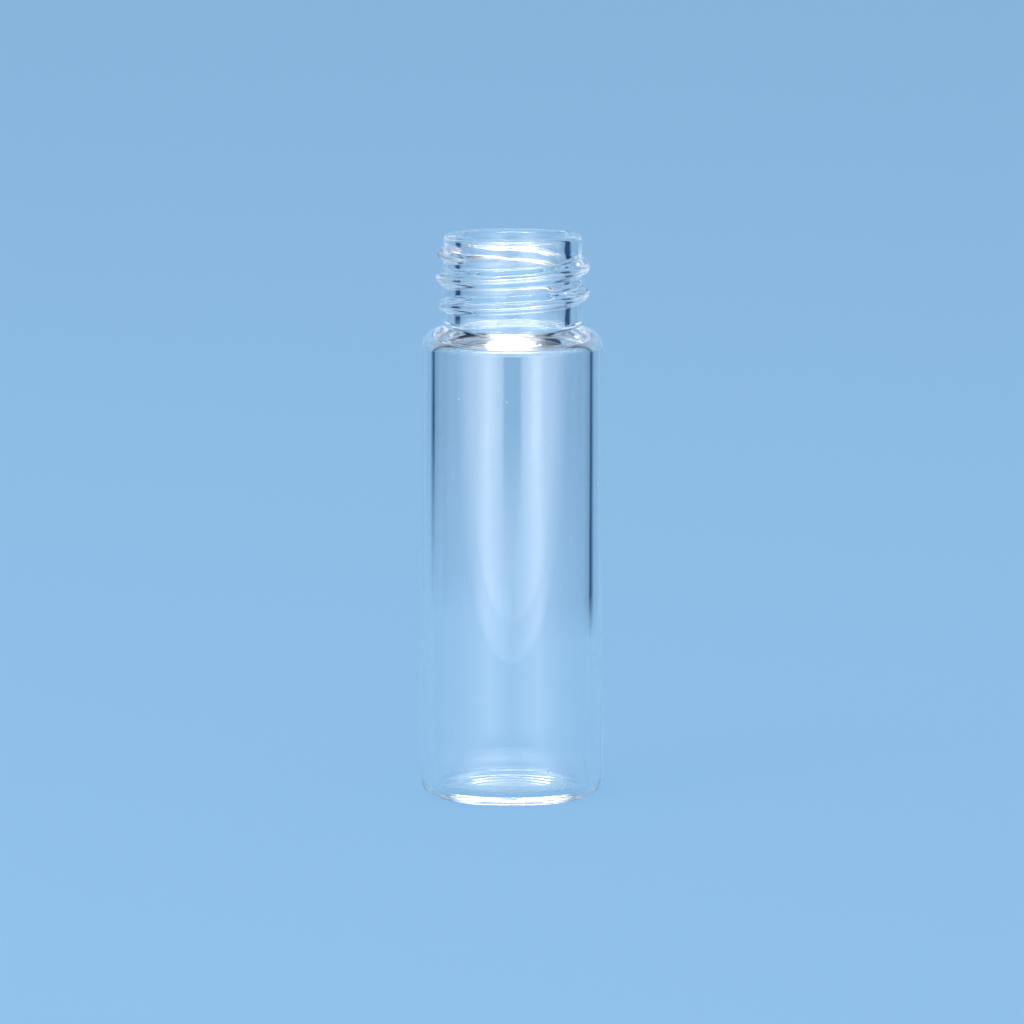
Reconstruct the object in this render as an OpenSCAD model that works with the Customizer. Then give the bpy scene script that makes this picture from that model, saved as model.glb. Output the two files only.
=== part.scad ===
// Screw-neck sample vial, formed from clear glass tube as a single piece.
// Millimetres. Z is the vial's axis and the origin is the middle of the base,
// on the surface that the vial stands on.

/* [Body] */
// Outside diameter of the body
body_d = 14.7; // [13.8:0.1:17]
// Wall of the body
body_wall = 1; // [0.7:0.05:1.4]
// Height from the base to the rim
vial_h = 46; // [40:0.5:70]

/* [Base] */
// Thickness of the floor
floor_t = 0.85; // [0.6:0.05:1.8]
// Outside radius between the body and the base
heel_r = 1.3; // [0.8:0.05:1.8]
// Inside radius between the wall and the floor
floor_r = 0.5; // [0.3:0.05:1.6]
// Width of the flat ring that the vial stands on
foot_w = 0.3; // [0.2:0.05:1.2]
// Height by which the middle of the base is pushed up
push_up = 0.2; // [0.15:0.05:0.6]

/* [Shoulder] */
// Slope of the outside of the shoulder, in degrees from level
shoulder_slope = 18; // [12:1:34]
// Slope of the inside of the shoulder, in degrees from level
inner_slope = 8; // [4:1:24]
// Outside radius between the shoulder and the body
shoulder_r = 1.45; // [0.6:0.05:1.6]
// Inside radius between the shoulder and the body
inner_shoulder_r = 0.6; // [0.4:0.05:1]
// Thickness of the glass in the shoulder, along the axis
shoulder_t = 1.05; // [0.9:0.05:2]

/* [Neck] */
// Height of the neck, from the shoulder to the rim
neck_h = 7.45; // [7:0.05:10]
// Outside diameter of the neck, under the thread
neck_d = 11.25; // [10.8:0.05:11.8]
// Diameter of the bore through the neck
bore_d = 8.6; // [7.4:0.05:8.9]
// Outside radius where the neck meets the shoulder
neck_fillet = 0.3; // [0.2:0.05:0.7]
// Inside radius where the bore opens into the body
throat_r = 0.2; // [0.1:0.05:0.8]
// Outside radius of the rim
rim_r = 0.35; // [0.2:0.05:0.5]
// Inside radius of the rim
lip_r = 0.5; // [0.2:0.05:0.6]

/* [Thread] */
// Outside diameter of the thread
thread_d = 12.6; // [12.2:0.05:12.9]
// Rise of the thread in one turn
pitch = 2.12; // [1.9:0.01:2.4]
// Turns at the thread's full height
thread_turns = 1.8; // [1.4:0.05:1.9]
// Distance from the rim to the middle of the thread at its upper end
thread_top = 1.2; // [1.1:0.05:1.5]
// Radius of the thread's round crest
crest_r = 0.55; // [0.4:0.01:0.6]
// Slope of the thread's flanks, in degrees from the neck's surface
flank = 62; // [50:1:70]
// Degrees of turn in which the thread rises from the neck at its upper end
lead_in = 90; // [30:5:120]
// Degrees of turn in which the thread dies out at its lower end
run_out = 50; // [20:5:80]
// Direction in which the upper end lies, in degrees from +X
thread_start = 230; // [0:5:355]

/* [Hidden] */

ARC_STEP = 7.5;      // degrees between points along a rounded corner
DOME_STEPS = 6;      // points along the pushed-up middle of the base
FLOOR_LAND = 0.1;    // level ring inside, between the rounding and the risen middle
TURN_STEPS = 40;     // rings of the thread in one turn
CREST_STEPS = 6;     // faces round the crest of the thread
ROOT_DEPTH = 0.4;    // how far the thread reaches into the wall of the neck
END_SIZE = 0.25;     // size of the thread's section at its buried ends
END_DROP = 0.6;      // how far the upper end leans towards the base

body_r = body_d / 2;
cavity_r = body_r - body_wall;
neck_r = neck_d / 2;
bore_r = bore_d / 2;
foot_r = body_r - heel_r - foot_w;
floor_dome_r = cavity_r - floor_r - FLOOR_LAND;

// Heights of the shoulder's corners, before they are rounded
neck_z = vial_h - neck_h;
shoulder_z = neck_z - (body_r - neck_r) * tan(shoulder_slope);
throat_z = neck_z - shoulder_t;
inner_shoulder_z = throat_z - (cavity_r - bore_r) * tan(inner_slope);

function heading(p, q) = atan2(q[1] - p[1], q[0] - p[0]);
function wrapped(a) = a > 180 ? a - 360 : a < -180 ? a + 360 : a;

// Points that round the corner q of the path p-q-s with a radius
function corner(p, q, s, radius) =
    let (
        turn = wrapped(heading(q, s) - heading(p, q)),
        side = turn > 0 ? 1 : -1,
        back = radius * tan(abs(turn) / 2),
        start = q - back * [cos(heading(p, q)), sin(heading(p, q))],
        normal = heading(p, q) + 90 * side,
        middle = start + radius * [cos(normal), sin(normal)],
        steps = max(2, ceil(abs(turn) / ARC_STEP))
    )
    [for (i = [0:steps])
        let (a = normal + 180 + turn * i / steps)
        middle + radius * [cos(a), sin(a)]];

// A path of [radius from the axis, height, rounding] as plain points
function rounded(path) =
    [for (i = [0:len(path) - 1])
        let (
            q = [path[i][0], path[i][1]],
            p = path[max(i - 1, 0)],
            s = path[min(i + 1, len(path) - 1)]
        )
        each (path[i][2] > 0 ? corner([p[0], p[1]], q, [s[0], s[1]], path[i][2]) : [q])];

// A shallow dome from the axis out to radius r, risen by push_up over height z
function dome(r, z) =
    [for (i = [0:DOME_STEPS])
        let (x = r * i / DOME_STEPS)
        [x, z + push_up * (1 + cos(180 * x / r)) / 2]];

// The glass on one side of the axis, in the plane of the axis
module section() {
    outside = rounded([
        [foot_r, 0, 0],
        [body_r, 0, heel_r],
        [body_r, shoulder_z, shoulder_r],
        [neck_r, neck_z, neck_fillet],
        [neck_r, vial_h, rim_r],
        [bore_r, vial_h, lip_r],
        [bore_r, throat_z, throat_r],
        [cavity_r, inner_shoulder_z, inner_shoulder_r],
        [cavity_r, floor_t, floor_r],
        [floor_dome_r, floor_t, 0]
    ]);
    inner_floor = dome(floor_dome_r, floor_t);
    polygon(concat(
        dome(foot_r, 0),
        outside,
        [for (i = [1:DOME_STEPS]) inner_floor[DOME_STEPS - i]]
    ));
}

// How far the thread has risen at angle a from its upper end, from 0 to 1
function risen(a, span) =
    sin(90 * max(0, min(1, a / lead_in, (span - a) / run_out)));

// Half of the thread's section: the crest's arc, then a straight flank that
// goes on into the wall of the neck. Each point is [height, distance along Z].
function half_section(height) =
    let (
        root = height - crest_r * (1 - cos(flank)) + ROOT_DEPTH,
        arc = [for (i = [0:CREST_STEPS / 2])
            let (t = 2 * flank * i / CREST_STEPS)
            [height - crest_r * (1 - cos(t)), crest_r * sin(t)]]
    )
    concat(arc, [[-ROOT_DEPTH, crest_r * sin(flank) + root / tan(flank)]]);

// The round-crested bead of the thread, swept down from its upper end
module thread() {
    span = thread_turns * 360 + lead_in + run_out;
    rings = ceil(span / 360 * TURN_STEPS);
    half = half_section((thread_d - neck_d) / 2);
    n = 2 * len(half) - 1;
    loop = [for (i = [0:n - 1])
        let (k = i - len(half) + 1)
        [half[abs(k)][0], half[abs(k)][1] * sign(k)]];
    points = [for (i = [0:rings], p = loop)
        let (
            a = span * i / rings,
            size = END_SIZE + (1 - END_SIZE) * risen(a, span),
            lean = a < lead_in ? END_DROP * (1 - risen(a, span)) : 0,
            r = neck_r - ROOT_DEPTH + (p[0] + ROOT_DEPTH) * size,
            turn = thread_start - a
        )
        [
            r * cos(turn),
            r * sin(turn),
            vial_h - thread_top - pitch * a / 360 - lean + p[1] * size
        ]];
    sides = [for (i = [0:rings - 1], j = [0:n - 1], half = [0, 1])
        let (
            k = (j + 1) % n,
            low = i * n,
            high = low + n
        )
        half == 0 ? [low + j, high + j, low + k] : [low + k, high + j, high + k]];
    ends = [for (j = [1:n - 2], end = [0, 1])
        end == 0 ? [0, j, j + 1] : [rings * n, rings * n + j + 1, rings * n + j]];
    polyhedron(points, concat(sides, ends));
}

// The whole vial
module vial() {
    color([0.86, 0.93, 0.97, 0.4])
    union() {
        rotate_extrude($fn = 96) section();
        thread();
    }
}

vial();
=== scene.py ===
# Screw-neck glass sample vial: the finished glass, the studio light and the camera
import math
import bmesh
import bpy
from mathutils import Matrix, Vector


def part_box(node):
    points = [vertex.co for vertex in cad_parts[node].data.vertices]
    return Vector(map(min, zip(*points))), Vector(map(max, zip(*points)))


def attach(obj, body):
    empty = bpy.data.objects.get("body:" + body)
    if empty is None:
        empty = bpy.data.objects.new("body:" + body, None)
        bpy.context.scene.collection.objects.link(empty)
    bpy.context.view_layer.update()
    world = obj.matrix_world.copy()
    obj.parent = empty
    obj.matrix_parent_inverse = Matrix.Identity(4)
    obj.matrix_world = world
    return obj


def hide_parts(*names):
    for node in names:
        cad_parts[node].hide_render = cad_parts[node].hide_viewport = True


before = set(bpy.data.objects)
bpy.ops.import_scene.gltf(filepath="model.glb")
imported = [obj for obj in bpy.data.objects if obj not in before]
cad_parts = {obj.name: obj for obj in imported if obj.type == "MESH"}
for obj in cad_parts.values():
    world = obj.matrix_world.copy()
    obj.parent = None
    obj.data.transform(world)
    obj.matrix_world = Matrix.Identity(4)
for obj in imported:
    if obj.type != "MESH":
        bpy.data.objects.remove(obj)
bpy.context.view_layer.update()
print("packed model loaded")

mm = 0.001      # metres
lowest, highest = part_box("vial")
vialHeight = highest.z / mm
bodyRadius = (highest.x - lowest.x) / 2 / mm


# an sRGB hex value as the linear colour that Blender works in
def linear(hexColour):
    channels = [int(hexColour[i:i + 2], 16) / 255 for i in (1, 3, 5)]
    return [c / 12.92 if c <= 0.04045 else ((c + 0.055) / 1.055) ** 2.4 for c in channels] + [1.0]


# gives a colour ramp its stops, each a position and either a hex colour or a level of light
def fillRamp(elements, stops):
    while len(elements) < len(stops):
        elements.new(0.5)
    for element, (position, colour) in zip(elements, stops):
        element.position = position
        element.color = linear(colour) if isinstance(colour, str) else (colour, colour, colour, 1)


# an input is a constant, a socket, or a node whose first output is meant
def addNode(tree, kind, inputs=None, stops=(), **settings):
    node = tree.nodes.new(kind)
    for name, value in settings.items():
        setattr(node, name, value)
    if stops:
        fillRamp(node.color_ramp.elements, stops)
    for name, value in (inputs or {}).items():
        if isinstance(value, bpy.types.Node):
            value = value.outputs[0]
        if isinstance(value, bpy.types.NodeSocket):
            tree.links.new(value, node.inputs[name])
        else:
            node.inputs[name].default_value = value
    return node


def emptyMaterial(name):
    material = bpy.data.materials.new(name)
    material.use_nodes = True
    material.node_tree.nodes.clear()
    return material


def addToScene(name, data):
    thing = bpy.data.objects.new(name, data)
    bpy.context.scene.collection.objects.link(thing)
    return thing


cameraSetup = {
    "distance": 715.4,      # mm from the point it looks at
    "elevation": 7.33,      # degrees above the horizon
    "aimHeight": 23.27,     # mm above the floor
    "roll": 0.17,           # degrees
    "lens": 308.5,          # mm
    "sensor": 36,           # mm wide
    "reach": (50, 20000),   # mm, the nearest and the farthest that it sees
}


def makeCamera(setup):
    data = bpy.data.cameras.new("studioCamera")
    data.lens = setup["lens"]
    data.sensor_width = setup["sensor"]
    data.clip_start, data.clip_end = [v * mm for v in setup["reach"]]
    camera = addToScene("studioCamera", data)
    tilt = math.radians(setup["elevation"])
    away = Vector((0, -math.cos(tilt), math.sin(tilt)))
    camera.location = Vector((0, 0, setup["aimHeight"] * mm)) + away * setup["distance"] * mm
    roll = Matrix.Rotation(math.radians(setup["roll"]), 3, "Z")
    camera.rotation_euler = (away.to_track_quat("Z", "Y").to_matrix() @ roll).to_euler()
    bpy.context.scene.camera = camera


makeCamera(cameraSetup)
print("camera placed")

glassSection = {                # millimetres and degrees
    "wall": 1.0,
    "floorThickness": 0.85,
    "heelRadius": 1.3,
    "innerHeelRadius": 0.5,
    "footWidth": 0.3,
    "pushUp": 0.2,
    "shoulderSlope": 18,
    "innerSlope": 8,
    "shoulderRadius": 1.45,
    "innerShoulderRadius": 0.6,
    "shoulderThickness": 1.05,
    "neckHeight": 7.45,
    "neckRadius": 5.625,
    "boreRadius": 4.3,
    "neckFillet": 0.3,
    "throatRadius": 0.2,
    "rimRadius": 0.35,
    "lipRadius": 0.5,
    "floorLand": 0.1,           # level ring inside, between the rounding and the risen middle
    "ringHeight": 0.03,         # of the rings that closing the tube leaves on the floor inside
    "ringPitch": 1.6,
    "ringShare": 0.55,          # of the way out from the axis, where they begin
    "ringFade": 0.15,           # and over which they grow to their full height
    "domeRows": 26,
    "cornerStep": 6,            # degrees from one row to the next round a corner
    "cornerRows": 4,            # and the fewest rows there
    "longRun": 0.8,             # a straight run longer than this gets a close row at both ends
    "closeRow": 0.05,           # and this far from them
    "turnSteps": 288,
    "neckRows": 110,
    "neckWithin": 0.001,        # how near to the neck's radius its straight run lies
    "rimTop": 0.1,              # the top of the rim, which the thread leaves alone
    "mergeWithin": 0.002,
}
screwThread = {                 # millimetres and degrees
    "height": 0.675,
    "pitch": 2.12,
    "crestRadius": 0.55,
    "rootRadius": 0.25,
    "flank": 62,
    "top": 1.2,                 # from the rim to the thread's upper end
    "start": 230,               # where the upper end lies
    "leadIn": 90,
    "turns": 1.8,
    "runOut": 50,
    "endSize": 0.4,             # size of the thread's section where it starts and ends
    "drop": 0.6,                # how far the upper end leans towards the base
}


# the pushed-up middle of the base, from the axis out to a radius
def domeLine(radius, height, s, ringHeight=0):
    line = []
    for i in range(s["domeRows"] + 1):
        share = i / s["domeRows"]
        rise = s["pushUp"] * (1 + math.cos(math.pi * share)) / 2
        wave = (1 - math.cos(2 * math.pi * radius * (1 - share) / s["ringPitch"])) / 2
        grown = max(0, min(1, (share - s["ringShare"]) / s["ringFade"]))
        line.append((radius * share, height + rise + ringHeight * wave * grown, 0))
    return line


# the glass on one side of the axis, each corner as radius, height and rounding
def sectionCorners(s):
    neckZ = vialHeight - s["neckHeight"]
    boreRadius = s["boreRadius"]
    cavityRadius = bodyRadius - s["wall"]
    footRadius = bodyRadius - s["heelRadius"] - s["footWidth"]
    shoulderZ = neckZ - (bodyRadius - s["neckRadius"]) * math.tan(math.radians(s["shoulderSlope"]))
    throatZ = neckZ - s["shoulderThickness"]
    innerShoulderZ = throatZ - (cavityRadius - boreRadius) * math.tan(math.radians(s["innerSlope"]))
    floorRadius = cavityRadius - s["innerHeelRadius"] - s["floorLand"]
    return [
        *domeLine(footRadius, 0, s),
        (bodyRadius, 0, s["heelRadius"]),
        (bodyRadius, shoulderZ, s["shoulderRadius"]),
        (s["neckRadius"], neckZ, s["neckFillet"]),
        (s["neckRadius"], vialHeight, s["rimRadius"]),
        (boreRadius, vialHeight, s["lipRadius"]),
        (boreRadius, throatZ, s["throatRadius"]),
        (cavityRadius, innerShoulderZ, s["innerShoulderRadius"]),
        (cavityRadius, s["floorThickness"], s["innerHeelRadius"]),
        *reversed(domeLine(floorRadius, s["floorThickness"], s, s["ringHeight"])),
    ]


# that section as a chain of edges, with its corners rounded
def roundedSection(s):
    corners = sectionCorners(s)
    mesh = bmesh.new()
    chain = [mesh.verts.new((r * mm, 0, z * mm)) for r, z, rounding in corners]
    for pair in zip(chain, chain[1:]):
        mesh.edges.new(pair)
    for i, (r, z, rounding) in enumerate(corners):
        if rounding == 0:
            continue
        before, here, after = [Vector(corners[i + k][:2]) for k in (-1, 0, 1)]
        bend = (here - before).angle(after - here)
        bmesh.ops.bevel(
            mesh, geom=[chain[i]], offset=rounding * math.tan(bend / 2) * mm, offset_type="OFFSET",
            segments=max(s["cornerRows"], round(math.degrees(bend) / s["cornerStep"])), profile=0.5,
            affect="VERTICES", material=-1,
        )
    onNeck = {v for v in mesh.verts if abs(v.co.x / mm - s["neckRadius"]) < s["neckWithin"]}
    neckLine = [e for e in mesh.edges if onNeck.issuperset(e.verts)]
    bmesh.ops.subdivide_edges(mesh, edges=neckLine, cuts=s["neckRows"])
    # the close rows keep smooth shading from bending what a long straight run mirrors
    for edge in [e for e in mesh.edges if e.calc_length() > s["longRun"] * mm]:
        start, end = [v.co.copy() for v in edge.verts]
        share = s["closeRow"] * mm / (end - start).length
        inner = bmesh.ops.subdivide_edges(mesh, edges=[edge], cuts=2)["geom_inner"]
        rows = [v for v in inner if isinstance(v, bmesh.types.BMVert)]
        rows.sort(key=lambda v: (v.co - start).length)
        rows[0].co = start.lerp(end, share)
        rows[1].co = end.lerp(start, share)
    return mesh


# height over the neck of the thread's section, this far along the axis from its middle
def threadProfile(off, t):
    crest, root, height = t["crestRadius"], t["rootRadius"], t["height"]
    slope = math.radians(t["flank"])
    level = 1 - math.cos(slope)
    foot = (crest + root) * math.sin(slope) + (height - (crest + root) * level) / math.tan(slope)
    if off < crest * math.sin(slope):
        return height - crest + math.sqrt(crest ** 2 - off ** 2)
    if off < foot - root * math.sin(slope):
        return height - crest * level - (off - crest * math.sin(slope)) * math.tan(slope)
    if off < foot:
        return root - math.sqrt(root ** 2 - (foot - off) ** 2)
    return 0


# how far the thread stands out of the neck in one direction, at one height
def threadHeight(angle, z, t):
    span = t["turns"] * 360 + t["leadIn"] + t["runOut"]
    tallest = 0
    a = (t["start"] - angle) % 360
    while a < span:
        risen = math.sin(math.pi / 2 * min(1, a / t["leadIn"], (span - a) / t["runOut"]))
        lean = t["drop"] * (1 - risen) if a < t["leadIn"] else 0
        middle = vialHeight - t["top"] - t["pitch"] * a / 360 - lean
        size = t["endSize"] + (1 - t["endSize"]) * risen
        tallest = max(tallest, threadProfile(abs(z - middle) / size, t) * risen)
        a += 360
    return tallest


def raiseThread(mesh, section, thread):
    wallMiddle = (section["neckRadius"] + section["boreRadius"]) / 2
    neckZ = vialHeight - section["neckHeight"]
    for vertex in mesh.verts:
        radius = math.hypot(vertex.co.x, vertex.co.y) / mm
        height = vertex.co.z / mm
        if radius > wallMiddle and neckZ < height < vialHeight - section["rimTop"]:
            angle = math.degrees(math.atan2(vertex.co.y, vertex.co.x))
            grown = (radius + threadHeight(angle, height, thread)) / radius
            vertex.co.x *= grown
            vertex.co.y *= grown


def makeVial(section, thread):
    mesh = roundedSection(section)
    bmesh.ops.spin(
        mesh, geom=mesh.verts[:] + mesh.edges[:], cent=(0, 0, 0), axis=(0, 0, 1),
        angle=2 * math.pi, steps=section["turnSteps"], use_merge=True,
    )
    bmesh.ops.remove_doubles(mesh, verts=mesh.verts, dist=section["mergeWithin"] * mm)
    bmesh.ops.recalc_face_normals(mesh, faces=mesh.faces)
    raiseThread(mesh, section, thread)
    data = bpy.data.meshes.new("glassVial")
    mesh.to_mesh(data)
    mesh.free()
    for face in data.polygons:
        face.use_smooth = True
    return addToScene("glassVial", data)


glassFinish = {
    "colour": "#FFFFFF",
    "ior": 1.474,
    "shadowLight": (0.95, 0.97, 0.98, 1),   # share of each colour of light that reaches the floor
    "drawWidth": 2.4,           # mm from one faint line of the drawn tube to the next
    "drawLength": 22,           # mm along such a line
    "drawDepth": 0.002,         # mm
    "rolledWidth": 4,           # mm round the neck between the swells that the thread rollers leave
    "rolledRise": 1.7,          # mm along it
    "rolledDepth": 0.08,        # mm
    "rolledFrom": (38.8, 40.5),     # mm above the base, where the rolled neck begins
    "dustEvery": 2.6,           # mm between grains in the space that the glass passes through
    "dustSize": 0.2,            # mm across, coarser than real dust so that it shows
    "dustEdge": 0.5,            # share of a grain's radius within which it is solid
    "dustColour": "#EEF3F8",
}


# uneven height, with its swells this many millimetres apart round the tube and along it
def unevenness(tree, place, around, along):
    scale = (1 / around / mm, 1 / around / mm, 1 / along / mm)
    stretched = addNode(tree, "ShaderNodeMapping", {"Vector": place, "Scale": scale})
    return addNode(tree, "ShaderNodeTexNoise", {"Vector": stretched, "Scale": 1.0, "Detail": 1.0})


# Borosilicate tube, drawn and then flame-worked and fire-polished: clear and glossy, with faint
# lines along the tube and a neck that is a little uneven, so that what it mirrors wavers
def borosilicateGlass(f):
    material = emptyMaterial("borosilicateGlassFirePolished")
    tree = material.node_tree
    place = addNode(tree, "ShaderNodeTexCoord").outputs["Object"]
    drawLines = unevenness(tree, place, f["drawWidth"], f["drawLength"])
    swells = unevenness(tree, place, f["rolledWidth"], f["rolledRise"])
    height = addNode(tree, "ShaderNodeSeparateXYZ", {0: place}).outputs["Z"]
    low, high = [v * mm for v in f["rolledFrom"]]
    inNeck = addNode(tree, "ShaderNodeMapRange", {"Value": height, "From Min": low, "From Max": high})
    neckSwells = addNode(tree, "ShaderNodeMath", {0: swells, 1: inNeck}, operation="MULTIPLY")
    rolled = addNode(tree, "ShaderNodeMath", {0: neckSwells, 1: f["rolledDepth"]}, operation="MULTIPLY")
    relief = addNode(tree, "ShaderNodeMath", {
        0: drawLines, 1: f["drawDepth"], 2: rolled,
    }, operation="MULTIPLY_ADD")
    uneven = addNode(tree, "ShaderNodeBump", {"Height": relief, "Distance": mm})
    glass = addNode(tree, "ShaderNodeBsdfPrincipled", {
        "Base Color": linear(f["colour"]), "Roughness": 0.0, "IOR": f["ior"],
        "Transmission Weight": 1.0, "Normal": uneven,
    })
    nearest = addNode(tree, "ShaderNodeTexVoronoi", {"Vector": place, "Scale": 1 / f["dustEvery"] / mm})
    grain = f["dustSize"] / 2 / f["dustEvery"]
    onDust = addNode(tree, "ShaderNodeMapRange", {
        "Value": nearest.outputs["Distance"], "From Min": grain, "From Max": grain * f["dustEdge"],
    })
    dust = addNode(tree, "ShaderNodeBsdfDiffuse", {"Color": linear(f["dustColour"])})
    dusty = addNode(tree, "ShaderNodeMixShader", {0: onDust, 1: glass, 2: dust})
    # light on its way to the floor passes straight through
    path = addNode(tree, "ShaderNodeLightPath")
    lighting = addNode(tree, "ShaderNodeMath", {
        0: path.outputs["Is Shadow Ray"], 1: path.outputs["Is Diffuse Ray"],
    }, operation="MAXIMUM")
    through = addNode(tree, "ShaderNodeBsdfTransparent", {"Color": f["shadowLight"]})
    mix = addNode(tree, "ShaderNodeMixShader", {0: lighting, 1: dusty, 2: through})
    addNode(tree, "ShaderNodeOutputMaterial", {"Surface": mix})
    return material


vial = makeVial(glassSection, screwThread)
vial.data.materials.append(borosilicateGlass(glassFinish))
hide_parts("vial")
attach(vial, "root")
print("vial built:", len(vial.data.polygons), "faces")

studio = {
    "floorColour": "#8FC3EE",
    "floorSize": 6000,          # mm
    "paperRoughness": 0.8,
    "paperSheen": 0.2,          # specular level
    # what is seen past the floor, from the horizon (0) to straight up (1)
    "beyondFloor": [(0.0, "#87B2D8"), (0.25, "#8FC3EE")],
    "lampColour": "#FFFFFF",
    "fill": 0.8,                # light from all round, on the floor only
    "bounces": 64,              # light that is caught in the neck turns many corners

    # the rest is painted reflection, seen only in what the glass mirrors: first the table that the blue
    # sheet lies on
    "sheetFront": 88,           # mm from the vial to the front edge of the sheet
    "sheetFadeLeft": (110, 260),    # mm from the vial, where it falls off into the painted dark sides
    "sheetFadeRight": (95, 125),
    # painted reflection: the dark sides past the sheet, a fixed dark glow seen only in what the glass
    # mirrors
    "paintedDarkSide": "#17406C",
    "paintedDarkSideFar": "#183A66",
    "paintedDarkSideBlend": (330, 400),    # mm from the vial
    "glow": 2.5,                # painted reflection of two windows in front, as the table mirrors them
    "paintedReflectionOnSheet": 0.4,          # and, painted by this share, on the sheet
    "paintedReflectionFrom": (14, 22),      # mm from the vial, over which the painted reflection fades in
    "glowNear": [               # degrees round from the front, and how bright
        (-100, 0), (-60, 0.35), (-36, 0.7), (-15, 0.5), (0, 0.27), (12, 0.35), (30, 0.8), (38, 0.95),
        (45, 0.65), (60, 0.3), (90, 0),
    ],
    "glowFar": [
        (-100, 0), (-70, 0.4), (-45, 0.65), (-40, 1), (-33, 1), (-28, 0.65), (-13, 0.45), (-11, 0.05),
        (11, 0.05), (13, 0.4), (27, 1), (38, 1), (42, 0.6), (66, 0.3), (85, 0),
    ],
    "glowHorizon": [
        (-100, 0), (-75, 0.35), (-50, 0.85), (-30, 1.15), (0, 1.05), (16, 1.25), (32, 1.4), (50, 1.1),
        (75, 0.45), (95, 0),
    ],
    "glowBlend": (160, 250),    # mm from the vial, from near to far
    "horizonBlend": (380, 520),     # and from far to the horizon

    # then the room, from the horizon (0) to straight up (1)
    "frontWall": [(0.0, "#7FA6C6"), (0.4, "#A9C2D8"), (0.6, "#CBD9E6"), (0.8, "#F2F5FA")],
    "sideWall": [
        (0.0, "#4A8FC8"), (0.1, "#3A78AE"), (0.2, "#1D3F63"), (0.3, "#121E30"), (0.65, "#121E30"),
        (0.85, "#8A97A6"), (0.95, "#F2F5FA"),
    ],
    "backWall": [(0.0, "#8FC3EE"), (0.2, "#A5CBEA"), (0.42, "#9FB6CC"), (0.6, "#6C8098"), (0.82, "#F2F5FA")],
    "frontToSide": (0.40, 0.46),    # shares of the half turn from the front round to the back
    "sideToBack": (0.745, 0.795),
    "windows": 2.8,             # and the windows themselves, low over the table
    "windowsRound": [           # degrees round from the front, and how bright
        (-100, 0), (-70, 0.25), (-55, 0.5), (-40, 0.65), (-10, 0.65), (5, 0.8), (15, 0.95), (30, 1),
        (45, 0.85), (60, 0.45), (80, 0.2), (95, 0),
    ],
    "windowsUp": [(0, 1.0), (0.14, 1.0), (0.24, 0.75), (0.36, 0.55), (0.56, 0.2), (0.8, 0)],
}


def makeFloor(s):
    mesh = bmesh.new()
    bmesh.ops.create_grid(mesh, x_segments=1, y_segments=1, size=s["floorSize"] / 2 * mm)
    data = bpy.data.meshes.new("studioFloor")
    mesh.to_mesh(data)
    mesh.free()
    data.materials.append(blueSheetWithPaintedReflections(s))
    addToScene("studioFloor", data)


# one colour up to the first value of the span, another from its second value on; a mix node has
# its colours on inputs 6 and 7 and on output 2
def mixColours(tree, value, span, first, second):
    share = addNode(tree, "ShaderNodeMapRange", {"Value": value, "From Min": span[0], "From Max": span[1]})
    mix = addNode(tree, "ShaderNodeMix", {0: share, 6: first, 7: second}, data_type="RGBA")
    return mix.outputs[2]


# the way round from the front, twice: from 0 in front to 1 behind, the same on both sides, and
# from 0 straight behind, through 0.5 in front, to 1 behind again
def waysRound(tree, axes):
    across = addNode(tree, "ShaderNodeMath", {0: axes.outputs["X"]}, operation="ABSOLUTE")
    forward = addNode(tree, "ShaderNodeMath", {0: axes.outputs["Y"], 1: -1}, operation="MULTIPLY")
    eitherWay = addNode(tree, "ShaderNodeMath", {0: across, 1: forward}, operation="ARCTAN2")
    halfTurn = addNode(tree, "ShaderNodeMath", {0: eitherWay, 1: math.pi}, operation="DIVIDE")
    bearing = addNode(tree, "ShaderNodeMath", {0: axes.outputs["X"], 1: forward}, operation="ARCTAN2")
    fullTurn = addNode(tree, "ShaderNodeMath", {
        0: bearing, 1: 0.5 / math.pi, 2: 0.5,
    }, operation="MULTIPLY_ADD")
    return halfTurn, fullTurn


# light by the full way round, from stops in degrees round from the front
def lightRound(tree, fullTurn, stops):
    return addNode(tree, "ShaderNodeValToRGB", {0: fullTurn}, stops=[(0.5 + a / 360, v) for a, v in stops])


# 1 for light that has bounced inside or off the glass, 0 for what is seen straight
def mirroredLight(tree):
    bounces = addNode(tree, "ShaderNodeLightPath").outputs["Glossy Depth"]
    return addNode(tree, "ShaderNodeMath", {0: bounces, 1: 0.5}, operation="GREATER_THAN")


# painted reflection: the windows as the table and the sheet mirror them, a glow on the floor that only what
# the glass mirrors shows
def paintedWindowReflection(tree, s, axes, reach, fullTurn):
    near = lightRound(tree, fullTurn, s["glowNear"])
    far = lightRound(tree, fullTurn, s["glowFar"])
    horizon = lightRound(tree, fullTurn, s["glowHorizon"])
    glow = mixColours(tree, reach, [v * mm for v in s["glowBlend"]], near, far)
    glow = mixColours(tree, reach, [v * mm for v in s["horizonBlend"]], glow, horizon)
    forward = addNode(tree, "ShaderNodeMath", {0: axes.outputs["Y"], 1: -1}, operation="MULTIPLY")
    onTable = addNode(tree, "ShaderNodeMath", {
        0: forward, 1: s["sheetFront"] * mm,
    }, operation="GREATER_THAN")
    paintedShare = addNode(tree, "ShaderNodeMapRange", {"Value": onTable, "To Min": s["paintedReflectionOnSheet"], "To Max": 1.0})
    start, end = [v * mm for v in s["paintedReflectionFrom"]]
    clear = addNode(tree, "ShaderNodeMapRange", {"Value": reach, "From Min": start, "From Max": end})
    strength = addNode(tree, "ShaderNodeMath", {0: paintedShare, 1: clear}, operation="MULTIPLY")
    strength = addNode(tree, "ShaderNodeMath", {0: strength, 1: mirroredLight(tree)}, operation="MULTIPLY")
    strength = addNode(tree, "ShaderNodeMath", {0: strength, 1: s["glow"]}, operation="MULTIPLY")
    return addNode(tree, "ShaderNodeEmission", {"Color": glow, "Strength": strength})
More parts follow.
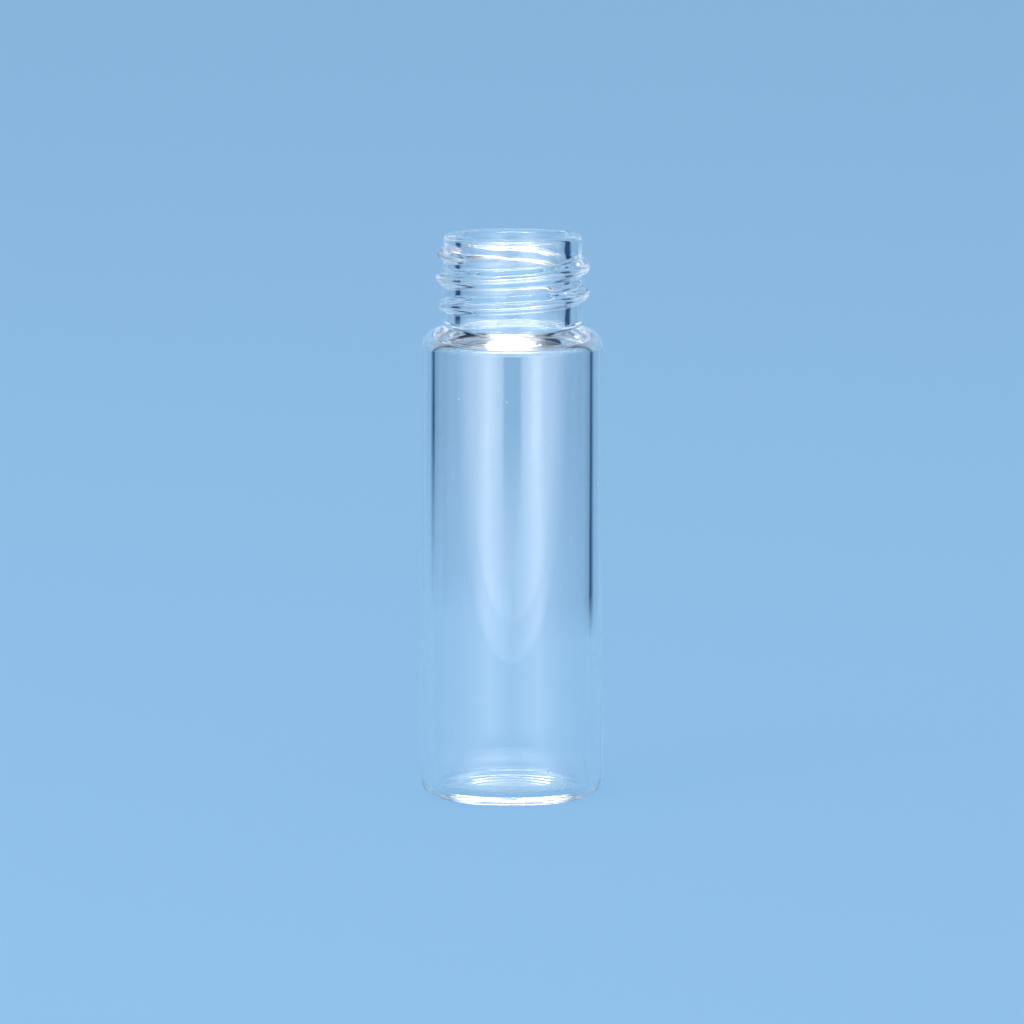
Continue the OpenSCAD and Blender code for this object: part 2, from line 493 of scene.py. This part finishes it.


# how far the sheet has given way to the painted dark sides, in mirrored light only
def besideSheet(tree, s, axes, reach, halfTurn):
    left, right = [addNode(tree, "ShaderNodeMapRange", {
        "Value": reach, "From Min": s[side][0] * mm, "From Max": s[side][1] * mm,
    }) for side in ("sheetFadeLeft", "sheetFadeRight")]
    onRight = addNode(tree, "ShaderNodeMath", {0: axes.outputs["X"], 1: 0}, operation="GREATER_THAN")
    fade = addNode(tree, "ShaderNodeMix", {0: onRight, 2: left, 3: right})
    sideEnd, backStart = s["sideToBack"]
    aside = addNode(tree, "ShaderNodeMapRange", {
        "Value": halfTurn, "From Min": backStart, "From Max": sideEnd,
    })
    beside = addNode(tree, "ShaderNodeMath", {0: fade, 1: aside}, operation="MULTIPLY")
    return addNode(tree, "ShaderNodeMath", {0: beside, 1: mirroredLight(tree)}, operation="MULTIPLY")


# Matt blue paper, so plain from any side. What the glass mirrors is painted in as reflections: the paper
# ends, a table goes on in front with two windows mirrored in it, and the sides are dark
def blueSheetWithPaintedReflections(s):
    material = emptyMaterial("mattBluePaperWithPaintedReflections")
    tree = material.node_tree
    place = addNode(tree, "ShaderNodeTexCoord").outputs["Object"]
    axes = addNode(tree, "ShaderNodeSeparateXYZ", {0: place})
    reach = addNode(tree, "ShaderNodeVectorMath", {0: place}, operation="LENGTH").outputs["Value"]
    halfTurn, fullTurn = waysRound(tree, axes)
    paper = addNode(tree, "ShaderNodeBsdfPrincipled", {
        "Base Color": linear(s["floorColour"]), "Roughness": s["paperRoughness"],
        "Specular IOR Level": s["paperSheen"],
    })
    blend = [v * mm for v in s["paintedDarkSideBlend"]]
    sides = mixColours(tree, reach, blend, linear(s["paintedDarkSide"]), linear(s["paintedDarkSideFar"]))
    # painted reflection: a fixed dark glow beside the sheet in place of the lit paper, seen only in what the
    # glass mirrors
    dark = addNode(tree, "ShaderNodeEmission", {"Color": sides, "Strength": 1.0})
    beside = besideSheet(tree, s, axes, reach, halfTurn)
    sheet = addNode(tree, "ShaderNodeMixShader", {0: beside, 1: paper, 2: dark})
    # painted reflection of the windows, a glow seen only in what the glass mirrors
    paintedStripes = paintedWindowReflection(tree, s, axes, reach, fullTurn)
    lit = addNode(tree, "ShaderNodeAddShader", {0: sheet, 1: paintedStripes})
    addNode(tree, "ShaderNodeOutputMaterial", {"Surface": lit})
    return material


def makeWorld(s):
    world = bpy.data.worlds.new("studioWorld")
    bpy.context.scene.world = world
    world.use_nodes = True
    tree = world.node_tree
    tree.nodes.clear()
    toward = addNode(tree, "ShaderNodeTexCoord").outputs["Generated"]
    axes = addNode(tree, "ShaderNodeSeparateXYZ", {0: toward})
    up = axes.outputs["Z"]
    halfTurn, fullTurn = waysRound(tree, axes)
    front, side, back, beyond, upward = [
        addNode(tree, "ShaderNodeValToRGB", {0: up}, stops=s[k])
        for k in ("frontWall", "sideWall", "backWall", "beyondFloor", "windowsUp")
    ]
    walls = mixColours(tree, halfTurn, s["frontToSide"], front, side)
    walls = mixColours(tree, halfTurn, s["sideToBack"], walls, back)
    room = addNode(tree, "ShaderNodeBackground", {"Color": walls, "Strength": 1.0})
    around = lightRound(tree, fullTurn, s["windowsRound"])
    glare = addNode(tree, "ShaderNodeMath", {0: around, 1: upward}, operation="MULTIPLY")
    glare = addNode(tree, "ShaderNodeMath", {0: glare, 1: s["windows"]}, operation="MULTIPLY")
    windows = addNode(tree, "ShaderNodeBackground", {"Color": linear(s["lampColour"]), "Strength": glare})
    mirrored = addNode(tree, "ShaderNodeAddShader", {0: room, 1: windows})
    seen = addNode(tree, "ShaderNodeBackground", {"Color": beyond, "Strength": 1.0})
    looks = addNode(tree, "ShaderNodeMixShader", {0: mirroredLight(tree), 1: seen, 2: mirrored})
    # light that the floor gathers from all round
    fill = addNode(tree, "ShaderNodeBackground", {"Color": linear(s["lampColour"]), "Strength": s["fill"]})
    path = addNode(tree, "ShaderNodeLightPath")
    lighting = addNode(tree, "ShaderNodeMath", {
        0: path.outputs["Diffuse Depth"], 1: 0.5,
    }, operation="GREATER_THAN")
    both = addNode(tree, "ShaderNodeMixShader", {0: lighting, 1: looks, 2: fill})
    addNode(tree, "ShaderNodeOutputWorld", {"Surface": both})


softboxes = {                   # millimetres
    "overheadSoftbox": {
        "place": (0, -450, 800), "aim": (0, -450, 0), "size": (900, 300), "strength": 14.0, "onFloor": False,
    },
    "keySoftbox": {
        "place": (-500, -500, 700), "aim": (0, 0, 20), "size": (500, 500), "strength": 3.0, "onFloor": True,
    },
}


# the strength is the brightness of the softbox's face
def makeSoftbox(name, box):
    width, depth = [v * mm for v in box["size"]]
    place = Vector(box["place"])
    data = bpy.data.lights.new(name, "AREA")
    data.shape = "RECTANGLE"
    data.size = width
    data.size_y = depth
    data.energy = box["strength"] * math.pi * width * depth
    lamp = addToScene(name, data)
    lamp.location = place * mm
    lamp.rotation_euler = (place - Vector(box["aim"])).to_track_quat("Z", "Y").to_euler()
    lamp.visible_diffuse = box["onFloor"]


makeFloor(studio)
makeWorld(studio)
for name, box in softboxes.items():
    makeSoftbox(name, box)
scene = bpy.context.scene
scene.view_settings.view_transform = "Standard"
scene.cycles.max_bounces = studio["bounces"]
scene.cycles.transmission_bounces = studio["bounces"]
scene.cycles.glossy_bounces = studio["bounces"]
scene.cycles.caustics_refractive = False
scene.cycles.caustics_reflective = False
print("studio lit")
